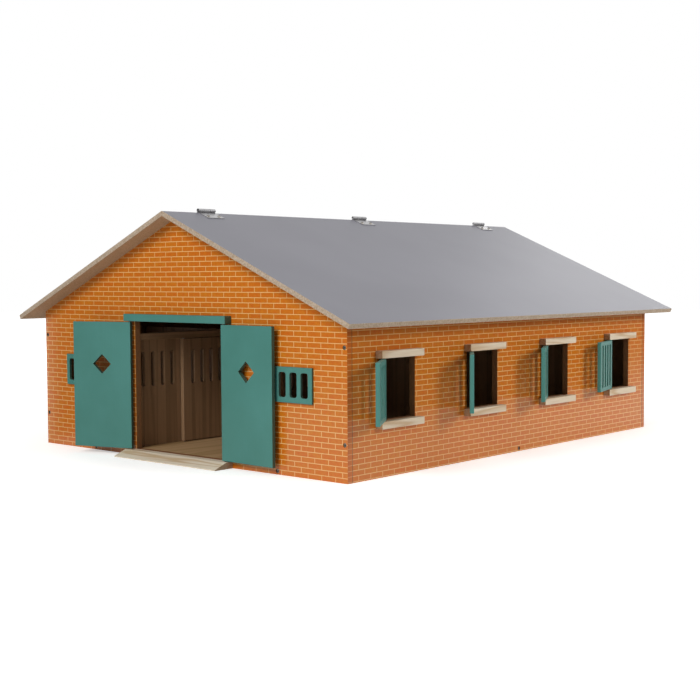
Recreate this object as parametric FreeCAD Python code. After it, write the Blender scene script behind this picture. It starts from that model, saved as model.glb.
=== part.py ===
import FreeCAD, Part
import math
import os

# Toy horse stable: a brick-printed board house with a lift-up roof half, pivoting front doors,
# eight shuttered windows and two rows of stalls. Millimetres and degrees, +Z up, front towards -Y.
# The origin lies on the table under the middle of the house.

# House shell
house_width = 548.0
house_length = 669.0
ridge_height = 306.0
roof_pitch = 23.5
wall_board = 8.0
floor_thickness = 8.0
roof_board = 6.0
eave_overhang = 26.0
front_overhang = 25.0
rear_overhang = 35.0
ridge_joint_gap = 0.3

# Front entrance: two leaves on pins between the lintel and the ramp's landing
entrance_width = 167.0
door_height = 161.0
door_thickness = 5.0
door_end_gap = 1.0
door_meeting_gap = 3.8
door_lap = 5.0
door_pivot_inset = 2.2
door_wall_gap = 1.0
door_pivot_cover = 4.5
door_lintel_height = 9.2
door_lintel_end = 4.8
left_door_open_angle = 162.2
right_door_open_angle = 178.2
diamond_width = 27.2
diamond_height = 25.5
diamond_drop = 54.0
ramp_slope_length = 18.0
ramp_tip = 1.2

# Slotted frames beside the entrance
front_window_corner_distance = 78.5
front_window_height = 104.2
front_window_thickness = 3.0
front_window_rim = 6.0
front_slot_count = 3
front_slot_width = 11.2
front_slot_height = 28.6
front_slot_pitch = 17.1
front_slot_corner = 3.0

# Side windows, one to a stall, each with a single slotted shutter. The left wall is the right wall's
# board turned round, so seen from outside both are the same
stall_count = 4
window_row_offset = 2.0
window_width = 65.0
window_height = 70.3
window_drop = 45.6
block_height = 8.5
block_overlap = 5.5
shutter_lap = 0.4
shutter_thickness = 5.0
shutter_end_gap = 0.8
shutter_pivot_inset = 3.2
shutter_wall_gap = 2.5
shutter_pivot_cover = 5.0
shutter_open_angles = (146.3, 144.0, 151.0, 163.8)
shutter_slot_count = 4
shutter_slot_width = 7.5
shutter_slot_pitch = 13.8
shutter_slot_rim = 5.0
shutter_slot_corner = 2.0

# Stalls: a slotted front board and a top rail each side of the aisle, gates on pins that hang between
# the rail and the floor, cross partitions
aisle_width = 190.0
stall_board = 6.0
stall_headroom = 25.8
stall_rail_height = 8.5
stall_slot_count = 4
stall_slot_width = 6.4
stall_slot_height = 45.0
stall_slot_pitch = 16.3
stall_slot_drop = 24.3
stall_slot_corner = 3.1
stall_slot_gate_distance = 12.6
gate_width = 82.6
gate_rear_distance = 5.6
gate_lap = 6.0
gate_end_gap = 1.0
gate_wall_gap = 1.8
gate_pivot_inset = 3.4
gate_pivot_cover = 5.0

# Steel pivot pins, tight in the fixed piece and running in the hung one
pin_diameter = 2.5
pin_reach = 6.0
pin_backing = 2.0
pin_end_clearance = 0.5
running_clearance = 0.06

# Countersunk screws that hold the boards together
screw_head = 5.0
screw_head_depth = 2.2
screw_sink = 1.0
screw_shank = 2.8
screw_length = 25.0
low_corner_screw_level = 42.3
high_corner_screw_drop = 31.6
floor_screw_offset = 167.0
roof_screw_distances = (95.0, 235.0)

# Small steel butt hinges on the ridge
hinge_length = 28.0
hinge_end_distance = 72.5
hinge_leaf_width = 20.0
hinge_leaf_thickness = 0.8
hinge_barrel = 4.4
hinge_pin = 2.2
hinge_pin_recess = 0.8
hinge_lid_knuckle = 10.4
hinge_knuckle_gap = 0.3
hinge_seat_gap = 0.15
hinge_notch_clearance = 0.25
hinge_screw_head = 5.0
hinge_screw_dome = 1.5
hinge_screw_shank = 2.2
hinge_screw_length = 5.2
hinge_screw_distance = 14.5
hinge_screw_spacing = 18.0

# Finish of the screws and of the hand-sanded edges
recess_share = 0.6
recess_slot_share = 0.16
screw_tip_share = 0.25
edge_round = 0.6
edge_round_limit = 0.3
corner_limit = 0.49

# How far a cutter runs past the face it leaves
cut_overrun = 1.0


def roof_top(x):
    return ridge_height - abs(x) * math.tan(pitch)


def roof_underside(x):
    return roof_top(x) - roof_board / math.cos(pitch)


# Worked-out places
V = FreeCAD.Vector
up = V(0, 0, 1)
along = V(0, 1, 0)
square_turn = 90.0
half_turn = 180.0
pitch = math.radians(roof_pitch)
front_face = -house_length / 2
rear_face = house_length / 2
inner_side = house_width / 2 - wall_board
inner_front = front_face + wall_board
inner_rear = rear_face - wall_board
floor_top = floor_thickness
wall_top = roof_underside(house_width / 2)
front_window_x = house_width / 2 - front_window_corner_distance

stall_pitch = (inner_rear - inner_front) / stall_count
stall_starts = [inner_front + i * stall_pitch for i in range(stall_count)]
window_pitch = house_length / stall_count
window_centres = [front_face + (i + 0.5) * window_pitch + window_row_offset for i in range(stall_count)]
window_top = wall_top - window_drop
window_sill_level = window_top - window_height

door_bottom = floor_top + door_end_gap
door_lintel_level = door_bottom + door_height + door_end_gap
door_width = entrance_width / 2 + door_lap - door_meeting_gap / 2
door_pivot_x = entrance_width / 2 + door_lap - door_pivot_inset
door_pivot_out = front_window_thickness + door_wall_gap + door_thickness / 2
door_pivot_y = front_face - door_pivot_out
landing_depth = door_pivot_out + door_pivot_cover
lintel_half_length = entrance_width / 2 + door_lap + door_lintel_end

shutter_width = window_width + 2 * shutter_lap
shutter_pivot_out = shutter_wall_gap + shutter_thickness / 2
block_depth = shutter_pivot_out + shutter_pivot_cover
block_length = window_width + 2 * block_overlap

stall_top = wall_top - stall_headroom
stall_front_x = aisle_width / 2 + stall_board / 2
stall_rail_level = stall_top - stall_rail_height
gate_top = stall_rail_level - gate_end_gap
gate_fronts = [y + stall_pitch - gate_rear_distance - gate_width for y in stall_starts]
gate_pivot_out = gate_wall_gap + stall_board / 2
gate_pivot_x = aisle_width / 2 - gate_pivot_out
rail_depth = gate_pivot_out + gate_pivot_cover

hinge_axis_above_board = hinge_barrel / 2 + hinge_seat_gap
hinge_axis_height = ridge_height + hinge_axis_above_board / math.cos(pitch)
roof_front = front_face - front_overhang
roof_rear = rear_face + rear_overhang
roof_middle = (roof_front + roof_rear) / 2
hinge_centres = (roof_front + hinge_end_distance, roof_middle, roof_rear - hinge_end_distance)


def block(xs, ys, zs):
    low = [min(pair) for pair in (xs, ys, zs)]
    high = [max(pair) for pair in (xs, ys, zs)]
    return Part.makeBox(*[b - a for a, b in zip(low, high)], V(*low))


def eased(solid, thinnest):
    return solid.makeFillet(min(edge_round, edge_round_limit * thinnest), solid.Edges)


def prism(points, run):
    return Part.Face(Part.makePolygon(points + points[:1])).extrude(run)


def rod(radius, x, y, z_low, z_high):
    return Part.makeCylinder(radius, z_high - z_low, V(x, y, z_low), up)


def slots(count, spacing, width, z_low, z_high, corner, centre, depth):
    # Upright slots side by side along X, cut right through a board that stands on the XZ plane
    cutters = []
    for i in range(count):
        u = centre + (i - (count - 1) / 2) * spacing
        blank = block((u - width / 2, u + width / 2), (-depth, depth), (z_low, z_high))
        corners = [e for e in blank.Edges if e.BoundBox.YLength > depth]
        cutters.append(blank.makeFillet(min(corner, corner_limit * width), corners))
    return cutters


def hung_leaf(width, inset, thickness, z_low, z_high):
    # A board that runs along +X from its pivot at X = 0, bored for a pin at each end
    board = block((-inset, width - inset), (-thickness / 2, thickness / 2), (z_low, z_high))
    bore_radius = pin_diameter / 2 + running_clearance
    depth = pin_reach + pin_end_clearance
    low_bore = rod(bore_radius, 0, 0, z_low, z_low + depth)
    high_bore = rod(bore_radius, 0, 0, z_high - depth, z_high)
    return eased(board, thickness).cut([low_bore, high_bore])


def swung(solid, x, y, angle):
    placed = solid.copy()
    placed.rotate(V(0, 0, 0), up, angle)
    placed.translate(V(x, y, 0))
    return placed


def pin_pair(x, y, low_host, low_host_thickness, high_host, high_host_thickness, end_gap):
    # The pins that stand in the piece below and hang from the piece above
    reach = end_gap + pin_reach
    return [
        rod(pin_diameter / 2, x, y, low_host - low_host_thickness + pin_backing, low_host + reach),
        rod(pin_diameter / 2, x, y, high_host - reach, high_host + high_host_thickness - pin_backing),
    ]


def pointed_shank(shank, top, length):
    # Points down -Z, with its tip a length below Z = 0
    tip_length = shank
    body = rod(shank / 2, 0, 0, tip_length - length, top)
    tip = Part.makeCone(screw_tip_share * shank / 2, shank / 2, tip_length, V(0, 0, -length), up)
    return body.fuse(tip)


def cross_recess(head, head_top, head_depth):
    reach = head * recess_share / 2
    half = head * recess_slot_share / 2
    zs = (head_top - head_depth * recess_share, head_top + cut_overrun)
    return [block((-reach, reach), (-half, half), zs), block((-half, half), (-reach, reach), zs)]


def countersunk_outline():
    # The board's face is at Z = 0, and the head lies below it
    head_bottom = -screw_sink - screw_head_depth
    cone = Part.makeCone(screw_shank / 2, screw_head / 2, screw_head_depth, V(0, 0, head_bottom), up)
    return cone.fuse(pointed_shank(screw_shank, head_bottom, screw_length)).removeSplitter()


def domed_screw():
    # The hinge leaf's face is at Z = 0, and the round head stands on it
    radius = (hinge_screw_head ** 2 / 4 + hinge_screw_dome ** 2) / (2 * hinge_screw_dome)
    ball = Part.makeSphere(radius, V(0, 0, hinge_screw_dome - radius))
    dome = ball.common(rod(hinge_screw_head, 0, 0, 0, hinge_screw_head))
    screw = dome.fuse(pointed_shank(hinge_screw_shank, 0, hinge_screw_length)).removeSplitter()
    return screw.cut(cross_recess(hinge_screw_head, hinge_screw_dome, hinge_screw_dome))


def driven(solid, place):
    point, direction = place
    placed = solid.copy()
    placed.Placement = FreeCAD.Placement(point, FreeCAD.Rotation(V(0, 0, -1), direction))
    return placed


def slope_point(side, distance, y, lift):
    # A point on a roof slope, by its distance down from the ridge and its height above the board
    x = side * (distance * math.cos(pitch) + lift * math.sin(pitch))
    return V(x, y, ridge_height - distance * math.sin(pitch) + lift * math.cos(pitch))


def slope_inward(side):
    return V(-side * math.sin(pitch), 0, -math.cos(pitch))


def board_screw_places():
    places = []
    for face, direction in ((front_face, along), (rear_face, -along)):
        inset_y = face + direction.y * wall_board / 2
        for side in (-1, 1):
            for level in (low_corner_screw_level, wall_top - high_corner_screw_drop):
                places.append((V(side * (inner_side + wall_board / 2), face, level), direction))
            places.append((V(side * floor_screw_offset, face, floor_thickness / 2), direction))
        for distance in roof_screw_distances:
            places.append((slope_point(-1, distance, inset_y, 0), slope_inward(-1)))
    for side in (-1, 1):
        places.append((V(side * house_width / 2, 0, floor_thickness / 2), V(-side, 0, 0)))
    return places


def hinge_screw_places(side):
    offsets = (-hinge_screw_spacing / 2, hinge_screw_spacing / 2)
    return [
        (slope_point(side, hinge_screw_distance, y + offset, hinge_leaf_thickness), slope_inward(side))
        for y in hinge_centres
        for offset in offsets
    ]


def gable_wall(face, inward):
    half = house_width / 2
    outline = [V(-half, face, 0), V(half, face, 0), V(half, face, wall_top), V(0, face, roof_underside(0)),
               V(-half, face, wall_top)]
    return prism(outline, V(0, inward * wall_board, 0))


def front_window_size():
    width = (front_slot_count - 1) * front_slot_pitch + front_slot_width + 2 * front_window_rim
    return width, front_slot_height + 2 * front_window_rim


def front_gable_wall():
    through = (front_face - cut_overrun, inner_front + cut_overrun)
    half = entrance_width / 2
    openings = [block((-half, half), through, (floor_top, door_lintel_level))]
    width, height = front_window_size()
    for side in (-1, 1):
        x = side * front_window_x
        half_width = (width - front_window_rim) / 2
        half_height = (height - front_window_rim) / 2
        zs = (front_window_height - half_height, front_window_height + half_height)
        openings.append(block((x - half_width, x + half_width), through, zs))
    return gable_wall(front_face, 1).cut(openings)


def side_wall(side):
    wall = block((side * inner_side, side * house_width / 2), (inner_front, inner_rear), (0, wall_top))
    through = (side * (inner_side - cut_overrun), side * (house_width / 2 + cut_overrun))
    half = window_width / 2
    zs = (window_sill_level, window_top)
    return wall.cut([block(through, (side * y - half, side * y + half), zs) for y in window_centres])


def roof_panel(side):
    ridge_x = ridge_joint_gap / 2
    slope_end = (house_width / 2 + eave_overhang) / math.cos(pitch)
    eave = slope_point(1, slope_end, roof_front, 0)
    eave_under = slope_point(1, slope_end, roof_front, -roof_board)
    outline = [V(ridge_x, roof_front, roof_top(ridge_x)), eave, eave_under,
               V(ridge_x, roof_front, roof_underside(ridge_x))]
    outline = [V(side * p.x, p.y, p.z) for p in outline]
    return eased(prism(outline, V(0, roof_rear - roof_front, 0)), roof_board)


def entrance_ramp():
    toe = front_face - landing_depth - ramp_slope_length
    xs = -lintel_half_length
    outline = [V(xs, front_face, 0), V(xs, toe, 0), V(xs, toe, ramp_tip),
               V(xs, front_face - landing_depth, floor_top), V(xs, front_face, floor_top)]
    return eased(prism(outline, V(2 * lintel_half_length, 0, 0)), ramp_tip)


def door_lintel():
    strip = block((-lintel_half_length, lintel_half_length), (front_face - landing_depth, front_face),
                  (door_lintel_level, door_lintel_level + door_lintel_height))
    return eased(strip, door_lintel_height)


def door():
    leaf = hung_leaf(door_width, door_pivot_inset, door_thickness, door_bottom, door_bottom + door_height)
    u = door_width / 2 - door_pivot_inset
    z = door_bottom + door_height - diamond_drop
    y = -door_thickness
    corners = [V(u - diamond_width / 2, y, z), V(u, y, z - diamond_height / 2),
               V(u + diamond_width / 2, y, z), V(u, y, z + diamond_height / 2)]
    return leaf.cut(prism(corners, V(0, 2 * door_thickness, 0)))


def front_window(side):
    width, height = front_window_size()
    half = width / 2
    zs = (front_window_height - height / 2, front_window_height + height / 2)
    plate = eased(block((-half, half), (-front_window_thickness, 0), zs), front_window_thickness)
    cutters = slots(front_slot_count, front_slot_pitch, front_slot_width, zs[0] + front_window_rim,
                    zs[1] - front_window_rim, front_slot_corner, 0, 2 * front_window_thickness)
    return swung(plate.cut(cutters), side * front_window_x, front_face, 0)


def window_block(side, y, z_low):
    outer = side * house_width / 2
    ys = (y - block_length / 2, y + block_length / 2)
    strip = block((outer, outer + side * block_depth), ys, (z_low, z_low + block_height))
    return eased(strip, block_height)


def shutter():
    z_low = window_sill_level + shutter_end_gap
    z_high = window_top - shutter_end_gap
    leaf = hung_leaf(shutter_width, shutter_pivot_inset, shutter_thickness, z_low, z_high)
    cutters = slots(shutter_slot_count, shutter_slot_pitch, shutter_slot_width, z_low + shutter_slot_rim,
                    z_high - shutter_slot_rim, shutter_slot_corner, shutter_width / 2 - shutter_pivot_inset,
                    shutter_thickness)
    return leaf.cut(cutters)


def shutter_angle(side, i):
    # Seen from outside, a closed shutter runs to the right of its pivot, and it swings out to the left
    return side * square_turn - shutter_open_angles[::side][i % len(shutter_open_angles)]


def stall_slots(centre):
    z_high = stall_top - stall_slot_drop
    return slots(stall_slot_count, stall_slot_pitch, stall_slot_width, z_high - stall_slot_height, z_high,
                 stall_slot_corner, centre, stall_board)


def stall_front(side):
    half = stall_board / 2
    board = block((inner_front, inner_rear), (-half, half), (floor_top, stall_top))
    cutters = []
    for gate_front in gate_fronts:
        opening = (gate_front + gate_lap, gate_front + gate_width - gate_lap)
        zs = (floor_top - cut_overrun, gate_top - gate_lap)
        cutters.append(block(opening, (-stall_board, stall_board), zs))
        last_slot = gate_front - stall_slot_gate_distance
        cutters += stall_slots(last_slot - (stall_slot_count - 1) / 2 * stall_slot_pitch)
    return swung(board.cut(cutters), side * stall_front_x, 0, square_turn)


def stall_rail(side):
    face = side * aisle_width / 2
    rail = block((face, face - side * rail_depth), (inner_front, inner_rear), (stall_rail_level, stall_top))
    return eased(rail, stall_rail_height)


def stall_gate():
    leaf = hung_leaf(gate_width, gate_pivot_inset, stall_board, floor_top + gate_end_gap, gate_top)
    return leaf.cut(stall_slots(gate_width / 2 - gate_pivot_inset))


def stall_partitions(side):
    xs = (side * (aisle_width / 2 + stall_board), side * inner_side)
    half = stall_board / 2
    return [block(xs, (y - half, y + half), (floor_top, stall_top)) for y in stall_starts[1:]]


def hinge_knuckles(radius, centre, lid):
    # The lid's leaf has the middle knuckle, and the fixed leaf the two outer ones
    split = hinge_lid_knuckle / 2
    half = hinge_length / 2
    gap = hinge_knuckle_gap / 2
    spans = [(-split + gap, split - gap)] if lid else [(-half, -split - gap), (split + gap, half)]
    return [Part.makeCylinder(radius, b - a, V(0, centre + a, hinge_axis_height), along) for a, b in spans]


def hinge_notches(centre, lid):
    # Room round the barrel for the other leaf's knuckles
    split = hinge_lid_knuckle / 2
    half = hinge_length / 2
    gap = hinge_knuckle_gap / 2
    outer = half + cut_overrun
    spans = [(-outer, -split + gap), (split - gap, outer)] if lid else [(-split - gap, split + gap)]
    radius = hinge_axis_height - ridge_height + hinge_notch_clearance
    return [Part.makeCylinder(radius, b - a, V(0, centre + a, hinge_axis_height), along) for a, b in spans]


def hinge_leaf(side, centre, lid):
    ys = (centre - hinge_length / 2, centre + hinge_length / 2)
    ridge_end = -hinge_axis_above_board * math.tan(pitch)
    plate = block((ridge_end, hinge_leaf_width), ys, (0, hinge_leaf_thickness))
    plate.rotate(V(0, 0, 0), along, roof_pitch)
    plate.translate(V(0, 0, ridge_height))
    if side < 0:
        plate = plate.mirror(V(0, 0, 0), V(1, 0, 0))
    leaf = plate.cut(hinge_notches(centre, lid)).fuse(hinge_knuckles(hinge_barrel / 2, centre, lid))
    bore_radius = hinge_pin / 2 + (running_clearance if lid else 0)
    bore = Part.makeCylinder(bore_radius, hinge_length, V(0, ys[0], hinge_axis_height), along)
    return leaf.cut(bore).removeSplitter()


def hinge_axle(centre):
    length = hinge_length - 2 * hinge_pin_recess
    return Part.makeCylinder(hinge_pin / 2, length, V(0, centre - length / 2, hinge_axis_height), along)


# Screws, with the outlines that cut their holes
board_outline = countersunk_outline()
board_screw = board_outline.cut(cross_recess(screw_head, -screw_sink, screw_head_depth))
board_hole = board_outline.fuse(rod(screw_head / 2, 0, 0, -screw_sink, cut_overrun))
board_holes = [driven(board_hole, place) for place in board_screw_places()]
hinge_screw = domed_screw()
hinge_hole = pointed_shank(hinge_screw_shank, cut_overrun, hinge_screw_length)
hinge_holes = {}
for side in (-1, 1):
    hinge_holes[side] = [driven(hinge_hole, place) for place in hinge_screw_places(side)]

# Pivot places and their pins
sides = (("left", -1), ("right", 1))
shutter_pivot_x = house_width / 2 + shutter_pivot_out
shutter_pivot_ys = [y - shutter_width / 2 + shutter_pivot_inset for y in window_centres]
gate_pivot_ys = [y + gate_pivot_inset for y in gate_fronts]
pins = []
for name, side in sides:
    pins += pin_pair(side * door_pivot_x, door_pivot_y, floor_top, floor_thickness, door_lintel_level,
                     door_lintel_height, door_end_gap)
    for y in shutter_pivot_ys:
        pins += pin_pair(side * shutter_pivot_x, side * y, window_sill_level, block_height, window_top,
                         block_height, shutter_end_gap)
    for y in gate_pivot_ys:
        pins += pin_pair(side * gate_pivot_x, y, floor_top, floor_thickness, stall_rail_level,
                         stall_rail_height, gate_end_gap)

# Every node of the assembly
nodes = {}
floor = block((-inner_side, inner_side), (inner_front, inner_rear), (0, floor_top))
nodes["floor_board"] = floor.cut(board_holes + pins)
nodes["front_gable_wall"] = front_gable_wall().cut(board_holes)
nodes["rear_gable_wall"] = gable_wall(rear_face, -1).cut(board_holes)
nodes["entrance_ramp"] = entrance_ramp().cut(pins)
nodes["door_lintel"] = door_lintel().cut(pins)
nodes["left_roof_panel"] = roof_panel(-1).cut(board_holes + hinge_holes[-1])
nodes["right_roof_panel"] = roof_panel(1).cut(hinge_holes[1])

door_angles = {"left": -left_door_open_angle, "right": half_turn + right_door_open_angle}
for name, side in sides:
    nodes[name + "_side_wall"] = side_wall(side).cut(board_holes)
    nodes[name + "_door"] = swung(door(), side * door_pivot_x, door_pivot_y, door_angles[name])
    nodes[name + "_front_window"] = front_window(side)
    nodes[name + "_stall_front"] = stall_front(side)
    nodes[name + "_stall_rail"] = stall_rail(side).cut(pins)
    nodes[name + "_stall_partitions"] = Part.makeCompound(stall_partitions(side))
    for i in range(stall_count):
        number = "_" + str(i + 1)
        sill_bottom = window_sill_level - block_height
        y = side * window_centres[::side][i]
        nodes[name + "_window_sill" + number] = window_block(side, y, sill_bottom).cut(pins)
        nodes[name + "_window_lintel" + number] = window_block(side, y, window_top).cut(pins)
        pivot_y = side * shutter_pivot_ys[::side][i]
        nodes[name + "_shutter" + number] = swung(shutter(), side * shutter_pivot_x, pivot_y,
                                                  shutter_angle(side, i))
        nodes[name + "_stall_gate" + number] = swung(stall_gate(), side * gate_pivot_x, gate_pivot_ys[i],
                                                     square_turn)

nodes["pivot_pins"] = Part.makeCompound(pins)
nodes["board_screws"] = Part.makeCompound([driven(board_screw, place) for place in board_screw_places()])
for name, side, lid in (("fixed", -1, False), ("lid", 1, True)):
    leaves = [hinge_leaf(side, y, lid).cut(hinge_holes[side]) for y in hinge_centres]
    nodes["ridge_hinge_" + name + "_leaves"] = Part.makeCompound(leaves)
    screws = [driven(hinge_screw, place) for place in hinge_screw_places(side)]
    nodes["ridge_hinge_" + name + "_screws"] = Part.makeCompound(screws)
nodes["ridge_hinge_pins"] = Part.makeCompound([hinge_axle(y) for y in hinge_centres])

os.makedirs("parts", exist_ok=True)
for node, shape in nodes.items():
    shape.exportStep("parts/" + node + ".step")
    print(node, len(shape.Solids), "solids, valid" if shape.isValid() else "solids, NOT VALID")
print(len(nodes), "nodes")
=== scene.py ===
import bpy
import math
from mathutils import Matrix, Vector

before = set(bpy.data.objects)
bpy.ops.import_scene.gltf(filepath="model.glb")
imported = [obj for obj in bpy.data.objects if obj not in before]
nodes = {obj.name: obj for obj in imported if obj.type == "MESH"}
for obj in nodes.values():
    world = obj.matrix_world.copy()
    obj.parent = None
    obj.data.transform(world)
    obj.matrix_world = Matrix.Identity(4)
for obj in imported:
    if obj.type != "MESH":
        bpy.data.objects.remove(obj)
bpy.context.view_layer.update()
bpy.ops.object.select_all(action="DESELECT")
print("stage: frame loaded,", len(nodes), "nodes")

mm = 0.001
perMm = 1000.0  # Object coordinates are in metres, and the patterns are sized in millimetres
alongX, alongY, alongZ = 0, 1, 2
quarterTurn = 90.0
white = (1.0, 1.0, 1.0, 1.0)

# Mix nodes repeat the names of their sockets, so these are told apart by number
mixShare, colourFrom, colourTo = 0, 6, 7
colourMix = {"out": 2, "data_type": "RGBA"}
vectorFrom, vectorTo = 4, 5
vectorMix = {"out": 1, "data_type": "VECTOR"}


def linear(hexColour):
    channels = [int(hexColour[i:i + 2], 16) / 255 for i in (1, 3, 5)]
    return [c / 12.92 if c <= 0.04045 else ((c + 0.055) / 1.055) ** 2.4 for c in channels] + [1.0]


def addNode(tree, kind, inputs=None, out=0, **settings):
    node = tree.nodes.new("ShaderNode" + kind)
    for key, value in settings.items():
        setattr(node, key, value)
    for key, value in (inputs or {}).items():
        if isinstance(value, bpy.types.NodeSocket):
            tree.links.new(value, node.inputs[key])
        else:
            node.inputs[key].default_value = value
    return node.outputs[out]


def newFinish(name):
    material = bpy.data.materials.new(name)
    material.use_nodes = True
    return material, material.node_tree, material.node_tree.nodes["Principled BSDF"]


def coat(names, material):
    for name in names:
        mesh = nodes[name].data
        mesh.materials.clear()
        mesh.materials.append(material)


def having(*parts):
    return [name for name in nodes if any(part in name for part in parts)]


# Hardboard under a printed brick foil: flat print without relief, satin sheen with a trace of orange peel,
# a duller band where a gable's edge shows beside the long wall, with painted shade as a dark seam along the
# joint between the boards, bare brown board on the sawn edges and inside
brickFoil = {
    "brickLength": 20.65, "course": 6.13, "joint": 0.95, "jointBlur": 0.5, "redBias": 0.0,
    "gableStart": (18.7, -12.64), "sideStart": (14.0, -17.04),
    "sideFace": 274.0, "gableFace": 334.5, "board": 8.0, "faceSlack": 0.6, "faceTurn": 0.5,
    "pale": "#CB7818", "red": "#CA6F16", "jointColour": "#E4BC7C",
    "blush": "#C65212", "blushSize": 4.0, "blushLow": 0.35, "blushHigh": 0.7, "blushShare": 0.45,
    "speckle": "#A24E14", "speckleSize": 1.1, "speckleLow": 0.55, "speckleHigh": 0.8, "speckleShare": 0.4,
    "edgeBand": "#B55A1E", "bandShare": 0.5, "seamShade": "#3C200E", "seamShadeWidth": 1.0, "seamShadeShare": 0.65,
    "sawn": "#835731", "inside": "#8A6942",
    "fibre": "#553E28", "fibreSize": 2.5, "fibreLow": 0.3, "fibreHigh": 0.7, "fibreShare": 0.35,
    "roughness": 0.28, "rawRoughness": 0.75, "gloss": 0.5, "peelSize": 1.6, "peelDepth": 0.1, "peel": 0.05,
}


def brickPrint(tree, at, onSide, look):
    prints = []
    for axis, start in (("X", look["gableStart"]), ("Y", look["sideStart"])):
        u = addNode(tree, "Math", {0: at[axis], 1: start[0] * mm}, operation="SUBTRACT")
        v = addNode(tree, "Math", {0: at["Z"], 1: start[1] * mm}, operation="SUBTRACT")
        prints.append(addNode(tree, "CombineXYZ", {"X": u, "Y": v}))
    flat = addNode(tree, "Mix", {mixShare: onSide, vectorFrom: prints[0], vectorTo: prints[1]}, **vectorMix)
    bond = addNode(tree, "TexBrick", {
        "Vector": flat, "Scale": perMm, "Brick Width": look["brickLength"], "Row Height": look["course"],
        "Mortar Size": look["joint"] / 2, "Mortar Smooth": look["jointBlur"], "Bias": look["redBias"],
        "Color1": linear(look["pale"]), "Color2": linear(look["red"]),
        "Mortar": linear(look["jointColour"])}, offset=0.5, offset_frequency=2)
    cloud = addNode(tree, "TexNoise", {"Vector": flat, "Scale": perMm / look["blushSize"], "Detail": 2.0})
    blush = addNode(tree, "MapRange", {"Value": cloud, "From Min": look["blushLow"],
                                       "From Max": look["blushHigh"], "To Max": look["blushShare"]})
    mottled = addNode(tree, "Mix", {mixShare: blush, colourFrom: bond, colourTo: linear(look["blush"])},
                      **colourMix)
    grit = addNode(tree, "TexNoise", {"Vector": flat, "Scale": perMm / look["speckleSize"], "Detail": 3.0})
    speckle = addNode(tree, "MapRange", {"Value": grit, "From Min": look["speckleLow"],
                                         "From Max": look["speckleHigh"], "To Max": look["speckleShare"]})
    dotted = addNode(tree, "Mix", {mixShare: speckle, colourFrom: mottled,
                                   colourTo: linear(look["speckle"])}, **colourMix)
    return addNode(tree, "Mix", {mixShare: bond.node.outputs["Fac"], colourFrom: dotted,
                                 colourTo: linear(look["jointColour"])}, **colourMix)


def gableEdgeAndSeamShade(tree, bricks, onSide, gableReach, look):
    meeting = (look["gableFace"] - look["board"]) * mm
    past = addNode(tree, "Math", {0: gableReach, 1: meeting}, operation="GREATER_THAN")
    beside = addNode(tree, "Math", {0: past, 1: onSide}, operation="MULTIPLY")
    band = addNode(tree, "Math", {0: beside, 1: look["bandShare"]}, operation="MULTIPLY")
    banded = addNode(tree, "Mix", {mixShare: band, colourFrom: bricks, colourTo: linear(look["edgeBand"])},
                     **colourMix)
    # painted shade: a dark line along the joint where the gable's edge meets the long wall
    close = addNode(tree, "Math", {0: gableReach, 1: meeting, 2: look["seamShadeWidth"] / 2 * mm},
                    operation="COMPARE")
    seamShadeMask = addNode(tree, "Math", {0: close, 1: onSide}, operation="MULTIPLY")
    seamShade = addNode(tree, "Math", {0: seamShadeMask, 1: look["seamShadeShare"]}, operation="MULTIPLY")
    return addNode(tree, "Mix", {mixShare: seamShade, colourFrom: banded, colourTo: linear(look["seamShade"])},
                   **colourMix)


def bareBoard(tree, place, onInside, look):
    board = addNode(tree, "Mix", {mixShare: onInside, colourFrom: linear(look["sawn"]),
                                  colourTo: linear(look["inside"])}, **colourMix)
    felt = addNode(tree, "TexNoise", {"Vector": place, "Scale": perMm / look["fibreSize"], "Detail": 4.0})
    fibre = addNode(tree, "MapRange", {"Value": felt, "From Min": look["fibreLow"],
                                       "From Max": look["fibreHigh"], "To Max": look["fibreShare"]})
    return addNode(tree, "Mix", {mixShare: fibre, colourFrom: board, colourTo: linear(look["fibre"])},
                   **colourMix)


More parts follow.
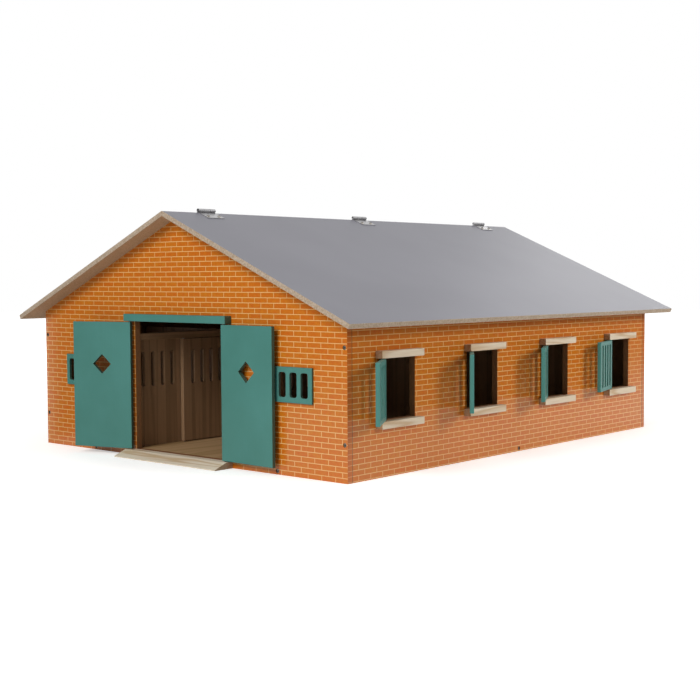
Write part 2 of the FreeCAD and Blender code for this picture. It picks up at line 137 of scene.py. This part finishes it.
def printedBrickBoard():
    material, tree, shader = newFinish("brickPrintedHardboard")
    look = brickFoil
    place = addNode(tree, "TexCoord", out="Object")
    at = addNode(tree, "SeparateXYZ", {"Vector": place}).node.outputs
    facing = addNode(tree, "SeparateXYZ", {"Vector": place.node.outputs["Normal"]}).node.outputs
    squares, reaches, outers, inners = [], [], [], []
    for axis, face in (("X", look["sideFace"]), ("Y", look["gableFace"])):
        turned = addNode(tree, "Math", {0: facing[axis]}, operation="ABSOLUTE")
        square = addNode(tree, "Math", {0: turned, 1: look["faceTurn"]}, operation="GREATER_THAN")
        reach = addNode(tree, "Math", {0: at[axis]}, operation="ABSOLUTE")
        outer = (face - look["faceSlack"]) * mm
        inner = outer - look["board"] * mm
        pastOuter = addNode(tree, "Math", {0: reach, 1: outer}, operation="GREATER_THAN")
        pastInner = addNode(tree, "Math", {0: reach, 1: inner}, operation="GREATER_THAN")
        squares.append(square)
        reaches.append(reach)
        outers.append(addNode(tree, "Math", {0: square, 1: pastOuter}, operation="MULTIPLY"))
        inners.append(addNode(tree, "Math", {0: square, 1: pastInner}, operation="MULTIPLY"))
    onSide, gableReach = squares[0], reaches[1]
    onOutside = addNode(tree, "Math", {0: outers[0], 1: outers[1]}, operation="MAXIMUM")
    onInside = addNode(tree, "Math", {0: inners[0], 1: inners[1]}, operation="MAXIMUM")

    printed = gableEdgeAndSeamShade(tree, brickPrint(tree, at, onSide, look), onSide, gableReach, look)
    bare = bareBoard(tree, place, onInside, look)
    colour = addNode(tree, "Mix", {mixShare: onOutside, colourFrom: bare, colourTo: printed}, **colourMix)
    rough = addNode(tree, "MapRange", {"Value": onOutside, "To Min": look["rawRoughness"],
                                       "To Max": look["roughness"]})
    peel = addNode(tree, "TexNoise", {"Vector": place, "Scale": perMm / look["peelSize"], "Detail": 2.0})
    dimple = addNode(tree, "Bump", {"Height": peel, "Strength": look["peel"],
                                    "Distance": look["peelDepth"] * mm})
    tree.links.new(colour, shader.inputs["Base Color"])
    tree.links.new(rough, shader.inputs["Roughness"])
    tree.links.new(dimple, shader.inputs["Normal"])
    shader.inputs["Specular IOR Level"].default_value = look["gloss"]
    return material


coat(having("gable_wall", "side_wall"), printedBrickBoard())
print("stage: brick board")

# Pine and birch plywood: early and late wood in long bands, fine fibres along them, darker end grain
pine = {"early": "#E0D1B9", "late": "#C6AA87", "end": "#8A6038", "ringLength": 260.0, "ringWidth": 15.0,
        "rings": 6.0, "fibreLength": 45.0, "fibreWidth": 0.8, "roughness": 0.6}
sandedPine = {**pine, "early": "#EBDFCB", "late": "#C9AE8A"}
stallPlywood = {"early": "#A28060", "late": "#886A4C", "end": "#5E4630", "ringLength": 500.0,
                "ringWidth": 12.0, "rings": 3.0, "fibreLength": 40.0, "fibreWidth": 0.9, "roughness": 0.55}
floorPlywood = {"early": "#C09D74", "late": "#A68458", "end": "#6E4F30", "ringLength": 420.0,
                "ringWidth": 40.0, "rings": 5.0, "fibreLength": 50.0, "fibreWidth": 1.0, "roughness": 0.5}
woodGrain = {"ringWobble": 0.2, "lateLow": -0.6, "lateHigh": 1.0, "lateSharpness": 2.2,
             "fibreLow": 0.35, "fibreHigh": 0.75, "fibreShare": 0.55,
             "endLow": 0.6, "endHigh": 0.9, "endShare": 0.75, "grooveDepth": 0.15, "groove": 0.25}


def grainedWood(name, look, grain):
    material, tree, shader = newFinish(name)
    place = addNode(tree, "TexCoord", out="Object")
    long = [perMm / look["ringWidth"]] * 3
    fine = [perMm / look["fibreWidth"]] * 3
    long[grain] = perMm / look["ringLength"]
    fine[grain] = perMm / look["fibreLength"]
    wide = addNode(tree, "Mapping", {"Vector": place, "Scale": long})
    narrow = addNode(tree, "Mapping", {"Vector": place, "Scale": fine})
    heart = addNode(tree, "TexNoise", {"Vector": wide, "Scale": 1.0, "Detail": 1.5,
                                       "Distortion": woodGrain["ringWobble"]})
    turn = addNode(tree, "Math", {0: heart, 1: look["rings"] * 2 * math.pi}, operation="MULTIPLY")
    wave = addNode(tree, "Math", {0: turn}, operation="SINE")
    ring = addNode(tree, "MapRange", {"Value": wave, "From Min": woodGrain["lateLow"],
                                      "From Max": woodGrain["lateHigh"]})
    late = addNode(tree, "Math", {0: ring, 1: woodGrain["lateSharpness"]}, operation="POWER")
    banded = addNode(tree, "Mix", {mixShare: late, colourFrom: linear(look["early"]),
                                   colourTo: linear(look["late"])}, **colourMix)
    fibre = addNode(tree, "TexNoise", {"Vector": narrow, "Scale": 1.0, "Detail": 4.0, "Roughness": 0.65})
    streak = addNode(tree, "MapRange", {"Value": fibre, "From Min": woodGrain["fibreLow"],
                                        "From Max": woodGrain["fibreHigh"],
                                        "To Max": woodGrain["fibreShare"]})
    fibred = addNode(tree, "Mix", {mixShare: streak, colourFrom: banded, colourTo: linear(look["late"])},
                     **colourMix)
    facing = addNode(tree, "SeparateXYZ", {"Vector": place.node.outputs["Normal"]}, out=grain)
    turned = addNode(tree, "Math", {0: facing}, operation="ABSOLUTE")
    atEnd = addNode(tree, "MapRange", {"Value": turned, "From Min": woodGrain["endLow"],
                                       "From Max": woodGrain["endHigh"], "To Max": woodGrain["endShare"]})
    colour = addNode(tree, "Mix", {mixShare: atEnd, colourFrom: fibred, colourTo: linear(look["end"])},
                     **colourMix)
    relief = addNode(tree, "Bump", {"Height": fibre, "Strength": woodGrain["groove"],
                                    "Distance": woodGrain["grooveDepth"] * mm})
    tree.links.new(colour, shader.inputs["Base Color"])
    tree.links.new(relief, shader.inputs["Normal"])
    shader.inputs["Roughness"].default_value = look["roughness"]
    return material


coat(having("_window_sill_", "_window_lintel_"), grainedWood("pineAlongWall", pine, alongY))
coat(["entrance_ramp"], grainedWood("sandedPineRamp", sandedPine, alongX))
coat(having("_stall_front", "_stall_partitions", "_stall_gate_"),
     grainedWood("birchPlywoodUpright", stallPlywood, alongZ))
coat(having("_stall_rail"), grainedWood("birchPlywoodRail", stallPlywood, alongY))
coat(["floor_board"], grainedWood("birchPlywoodFloor", floorPlywood, alongY))
print("stage: bare wood")

# Sprayed satin lacquer on plywood: even green with a trace of the grain, a painted highlight along the
# corners, and the sawn edges of the gable's boards a dull olive, partly bare edge and partly painted shade
greenLacquer = {"colour": "#4B847C", "deep": "#467D74",
                "cloudSize": 60.0, "cloudLow": 0.35, "cloudHigh": 0.65,
                "grainWidth": 1.5, "grainLength": 60.0, "grainLow": 0.45, "grainHigh": 0.75,
                # sawn: the dull olive of the gable pieces' edges, partly bare edge colour and partly painted
                # shade
                "grainShare": 0.3, "sawn": "#3E4C3C", "faceTurn": 0.6, "faceBlur": 0.1,
                # edge: the pale colour of the painted highlight along the rounded corners
                "edge": "#66958B", "edgeWidth": 0.7, "edgeSamples": 6, "edgeFlat": 0.99, "edgeRound": 0.85,
                "edgeHighlightShare": 0.6, "peelSize": 1.2, "peelDepth": 0.1, "peel": 0.08,
                "roughness": 0.45, "gloss": 0.25}
# share of the dark edge colour: painted shade on the gable's pieces, left off the shutters
sawnEdgeShadeShares = {"gable": 0.75, "shutters": 0.0}


def satinLacquer(name, sawnEdgeShadeShare):
    material, tree, shader = newFinish(name)
    look = greenLacquer
    place = addNode(tree, "TexCoord", out="Object")
    haze = addNode(tree, "TexNoise", {"Vector": place, "Scale": perMm / look["cloudSize"], "Detail": 3.0})
    cloud = addNode(tree, "MapRange", {"Value": haze, "From Min": look["cloudLow"],
                                       "From Max": look["cloudHigh"]})
    clouded = addNode(tree, "Mix", {mixShare: cloud, colourFrom: linear(look["colour"]),
                                    colourTo: linear(look["deep"])}, **colourMix)
    across = perMm / look["grainWidth"]
    upright = addNode(tree, "Mapping", {"Vector": place,
                                        "Scale": (across, across, perMm / look["grainLength"])})
    fibre = addNode(tree, "TexNoise", {"Vector": upright, "Scale": 1.0, "Detail": 3.0})
    grain = addNode(tree, "MapRange", {"Value": fibre, "From Min": look["grainLow"],
                                       "From Max": look["grainHigh"], "To Max": look["grainShare"]})
    grained = addNode(tree, "Mix", {mixShare: grain, colourFrom: clouded, colourTo: linear(look["deep"])},
                      **colourMix)
    # partly painted shade: faces not turned towards the front or back are darkened to the sawn olive
    facing = addNode(tree, "SeparateXYZ", {"Vector": place.node.outputs["Normal"]}, out="Y")
    turned = addNode(tree, "Math", {0: facing}, operation="ABSOLUTE")
    sawnEdgeShade = addNode(tree, "MapRange", {"Value": turned, "From Min": look["faceTurn"] - look["faceBlur"],
                                     "From Max": look["faceTurn"] + look["faceBlur"],
                                     "To Min": sawnEdgeShadeShare, "To Max": 0.0})
    sawnAndShaded = addNode(tree, "Mix", {mixShare: sawnEdgeShade, colourFrom: grained, colourTo: linear(look["sawn"])},
                     **colourMix)
    # painted highlight: where the bevelled normal turns from the true one, the corner is lightened as if
    # catching light
    rounded = addNode(tree, "Bevel", {"Radius": look["edgeWidth"] * mm}, samples=look["edgeSamples"])
    true = addNode(tree, "NewGeometry", out="Normal")
    match = addNode(tree, "VectorMath", {0: rounded, 1: true}, out="Value", operation="DOT_PRODUCT")
    paintedEdgeHighlight = addNode(tree, "MapRange", {"Value": match, "From Min": look["edgeFlat"],
                                      "From Max": look["edgeRound"], "To Max": look["edgeHighlightShare"]})
    colour = addNode(tree, "Mix", {mixShare: paintedEdgeHighlight, colourFrom: sawnAndShaded, colourTo: linear(look["edge"])},
                     **colourMix)
    peel = addNode(tree, "TexNoise", {"Vector": place, "Scale": perMm / look["peelSize"], "Detail": 2.0})
    dimple = addNode(tree, "Bump", {"Height": peel, "Strength": look["peel"],
                                    "Distance": look["peelDepth"] * mm})
    tree.links.new(colour, shader.inputs["Base Color"])
    tree.links.new(dimple, shader.inputs["Normal"])
    shader.inputs["Roughness"].default_value = look["roughness"]
    shader.inputs["Specular IOR Level"].default_value = look["gloss"]
    return material


coat(["left_door", "right_door"] + having("_front_window", "door_lintel"),
     satinLacquer("greenLacquerGable", sawnEdgeShadeShares["gable"]))
coat(having("_shutter_"), satinLacquer("greenLacquerShutters", sawnEdgeShadeShares["shutters"]))
print("stage: green lacquer")

# Fibreboard under a grey foil: satin sheen at a low angle, bare beige edges, light brown underside
roofFoil = {"top": "#7B7A83", "topDeep": "#76757E", "edge": "#BBA995", "edgeDark": "#A08B74",
            "under": "#B79E80", "underDark": "#A48A6A", "faceTurn": 0.8,
            "cloudSize": 140.0, "cloudLow": 0.35, "cloudHigh": 0.65,
            "gritSize": 2.0, "gritLow": 0.35, "gritHigh": 0.65, "grit": 0.06, "gritDepth": 0.1,
            "roughness": 0.42, "rawRoughness": 0.8}


def foiledRoofBoard():
    material, tree, shader = newFinish("greyFoilFibreboard")
    look = roofFoil
    place = addNode(tree, "TexCoord", out="Object")
    facing = addNode(tree, "SeparateXYZ", {"Vector": place.node.outputs["Normal"]}, out="Z")
    onTop = addNode(tree, "Math", {0: facing, 1: look["faceTurn"]}, operation="GREATER_THAN")
    below = addNode(tree, "Math", {0: facing, 1: -look["faceTurn"]}, operation="LESS_THAN")
    haze = addNode(tree, "TexNoise", {"Vector": place, "Scale": perMm / look["cloudSize"], "Detail": 2.0})
    cloud = addNode(tree, "MapRange", {"Value": haze, "From Min": look["cloudLow"],
                                       "From Max": look["cloudHigh"]})
    grit = addNode(tree, "TexNoise", {"Vector": place, "Scale": perMm / look["gritSize"], "Detail": 4.0})
    grain = addNode(tree, "MapRange", {"Value": grit, "From Min": look["gritLow"],
                                       "From Max": look["gritHigh"]})
    top = addNode(tree, "Mix", {mixShare: cloud, colourFrom: linear(look["top"]),
                                colourTo: linear(look["topDeep"])}, **colourMix)
    edge = addNode(tree, "Mix", {mixShare: grain, colourFrom: linear(look["edge"]),
                                 colourTo: linear(look["edgeDark"])}, **colourMix)
    under = addNode(tree, "Mix", {mixShare: grain, colourFrom: linear(look["under"]),
                                  colourTo: linear(look["underDark"])}, **colourMix)
    bare = addNode(tree, "Mix", {mixShare: below, colourFrom: edge, colourTo: under}, **colourMix)
    colour = addNode(tree, "Mix", {mixShare: onTop, colourFrom: bare, colourTo: top}, **colourMix)
    rough = addNode(tree, "MapRange", {"Value": onTop, "To Min": look["rawRoughness"],
                                       "To Max": look["roughness"]})
    dimple = addNode(tree, "Bump", {"Height": grit, "Strength": look["grit"],
                                    "Distance": look["gritDepth"] * mm})
    tree.links.new(colour, shader.inputs["Base Color"])
    tree.links.new(rough, shader.inputs["Roughness"])
    tree.links.new(dimple, shader.inputs["Normal"])
    return material


coat(having("_roof_panel"), foiledRoofBoard())
print("stage: roof")

# Zinc-plated steel: bright hinges with faint brush lines; screws and pins darker, partly duller plating and
# partly painted shade of the holes they sit in
brightZinc = {"bright": "#B9B8B9", "dull": "#949395", "lineWidth": 0.35, "lineLength": 14.0, "roughness": 0.3}
# darker zinc: partly duller plating, partly painted shade of the screw holes
shadedDullZinc = {"bright": "#A8A39C", "dull": "#6E6963", "lineWidth": 0.5, "lineLength": 6.0, "roughness": 0.42}
zincBrush = {"dullLow": 0.35, "dullHigh": 0.7, "roughLow": 0.3, "roughHigh": 0.7, "roughSpread": 0.1}


def platedSteel(name, look):
    material, tree, shader = newFinish(name)
    place = addNode(tree, "TexCoord", out="Object")
    across = perMm / look["lineWidth"]
    drawn = addNode(tree, "Mapping", {"Vector": place,
                                      "Scale": (across, perMm / look["lineLength"], across)})
    line = addNode(tree, "TexNoise", {"Vector": drawn, "Scale": 1.0, "Detail": 3.0})
    dull = addNode(tree, "MapRange", {"Value": line, "From Min": zincBrush["dullLow"],
                                      "From Max": zincBrush["dullHigh"]})
    colour = addNode(tree, "Mix", {mixShare: dull, colourFrom: linear(look["bright"]),
                                   colourTo: linear(look["dull"])}, **colourMix)
    rough = addNode(tree, "MapRange", {"Value": line, "From Min": zincBrush["roughLow"],
                                       "From Max": zincBrush["roughHigh"],
                                       "To Min": look["roughness"] - zincBrush["roughSpread"],
                                       "To Max": look["roughness"] + zincBrush["roughSpread"]})
    tree.links.new(colour, shader.inputs["Base Color"])
    tree.links.new(rough, shader.inputs["Roughness"])
    shader.inputs["Metallic"].default_value = 1.0
    return material


coat(having("ridge_hinge_"), platedSteel("brightZincSteel", brightZinc))
coat(having("_screws", "pivot_pins"), platedSteel("shadedDullZincSteel", shadedDullZinc))
print("stage: steel")

# Pale floor: white far off, with the stable's own soft shadow close by
floorLook = {"size": 12.0, "colour": "#F4F4F2", "roughness": 0.9, "gloss": 0.0,
             "nearRadius": 0.4, "farRadius": 1.0, "nearGlow": 0.45, "farGlow": 1.0}


def shownRay(tree):
    ray = addNode(tree, "LightPath").node.outputs
    shine = addNode(tree, "Math", {0: ray["Is Glossy Ray"], 1: ray["Is Transmission Ray"]},
                    operation="MAXIMUM")
    return addNode(tree, "Math", {0: shine, 1: ray["Is Camera Ray"]}, operation="MAXIMUM")


def paleFloor():
    bpy.ops.mesh.primitive_plane_add(size=floorLook["size"], location=(0, 0, 0))
    floor = bpy.context.object
    floor.name = "studioFloor"
    material, tree, shader = newFinish("paintedFloor")
    place = addNode(tree, "TexCoord", out="Object")
    away = addNode(tree, "VectorMath", {0: place}, out="Value", operation="LENGTH")
    glow = addNode(tree, "MapRange", {"Value": away, "From Min": floorLook["nearRadius"],
                                      "From Max": floorLook["farRadius"], "To Min": floorLook["nearGlow"],
                                      "To Max": floorLook["farGlow"]})
    strength = addNode(tree, "Math", {0: shownRay(tree), 1: glow}, operation="MULTIPLY")
    tree.links.new(strength, shader.inputs["Emission Strength"])
    shader.inputs["Emission Color"].default_value = white
    shader.inputs["Base Color"].default_value = linear(floorLook["colour"])
    shader.inputs["Roughness"].default_value = floorLook["roughness"]
    shader.inputs["Specular IOR Level"].default_value = floorLook["gloss"]
    floor.data.materials.append(material)


paleFloor()

# Dark flags beside the floor, seen only in what shines: the printed walls mirror them above the pale floor
darkFlags = {
    "sideFlag": {"at": (0.66, 0.3, 0.12), "turn": 90.0, "width": 2.4, "height": 0.24},
    "gableFlag": {"at": (-0.31, -1.69, 0.23), "turn": 90.0, "width": 2.64, "height": 0.46},
}
flagCloth = {"colour": "#141414", "roughness": 1.0}


def darkFlag(name, look):
    bpy.ops.mesh.primitive_plane_add(
        size=1.0, location=look["at"], rotation=(math.radians(quarterTurn), 0, math.radians(look["turn"])))
    flag = bpy.context.object
    flag.name = name
    flag.scale = (look["width"], look["height"], 1.0)
    bpy.ops.object.transform_apply(location=True, rotation=True, scale=True)
    flag.visible_camera = False
    flag.visible_diffuse = False
    flag.visible_transmission = False
    flag.visible_shadow = False
    material, tree, shader = newFinish("blackCloth")
    shader.inputs["Base Color"].default_value = linear(flagCloth["colour"])
    shader.inputs["Roughness"].default_value = flagCloth["roughness"]
    flag.data.materials.append(material)


for name, look in darkFlags.items():
    darkFlag(name, look)

# Soft boxes: one before the gable, one before the long wall, wider and weaker ones behind and on the left
softBoxes = {
    "gableBox": {"at": (0.30, -2.25, 1.30), "aim": (0.32, -0.33, 0.15),
                 "size": 1.0, "spread": 90.0, "power": 9.1},
    "sideBox": {"at": (2.37, 0.45, 1.15), "aim": (0.27, 0.32, 0.1),
                "size": 1.1, "spread": 60.0, "power": 4.3},
    "rearBox": {"at": (-0.5, 2.7, 1.0), "aim": (0.0, 0.2, 0.2),
                "size": 1.2, "spread": 180.0, "power": 7.0},
    "leftBox": {"at": (-2.3, 0.5, 1.2), "aim": (-0.27, 0.0, 0.1),
                "size": 1.0, "spread": 180.0, "power": 11.0},
}
for name, box in softBoxes.items():
    lamp = bpy.data.lights.new(name, "AREA")
    lamp.size = box["size"]
    lamp.spread = math.radians(box["spread"])
    lamp.energy = box["power"]
    lampObject = bpy.data.objects.new(name, lamp)
    bpy.context.scene.collection.objects.link(lampObject)
    towards = Vector(box["aim"]) - Vector(box["at"])
    lampObject.location = box["at"]
    lampObject.rotation_euler = towards.to_track_quat("-Z", "Y").to_euler()

# White room for the eye and for what shines, with a weaker fill on everything else
roomLight = {"fill": 0.23, "shown": 1.0}
world = bpy.data.worlds.new("studioRoom")
bpy.context.scene.world = world
world.use_nodes = True
room = world.node_tree
strength = addNode(room, "MapRange", {"Value": shownRay(room), "To Min": roomLight["fill"],
                                      "To Max": roomLight["shown"]})
room.links.new(strength, room.nodes["Background"].inputs["Strength"])
room.nodes["Background"].inputs["Color"].default_value = white
print("stage: floor and light")

# The photograph's own view, solved from the straight edges of the walls and the roof
cameraLook = {"at": (1.163918, -1.347850, 0.225221), "yaw": 41.1578, "down": 3.3457, "roll": -0.3062,
              "lens": 64.285, "sensor": 36.0}
camera = bpy.data.cameras.new("photoCamera")
camera.sensor_fit = "HORIZONTAL"
camera.sensor_width = cameraLook["sensor"]
camera.lens = cameraLook["lens"]
cameraObject = bpy.data.objects.new("photoCamera", camera)
bpy.context.scene.collection.objects.link(cameraObject)
cameraObject.matrix_world = (
    Matrix.Translation(cameraLook["at"])
    @ Matrix.Rotation(math.radians(cameraLook["yaw"]), 4, "Z")
    @ Matrix.Rotation(math.radians(quarterTurn - cameraLook["down"]), 4, "X")
    @ Matrix.Rotation(math.radians(cameraLook["roll"]), 4, "Z"))
bpy.context.scene.camera = cameraObject
bpy.context.scene.view_settings.view_transform = "Standard"

print("stage: camera placed")
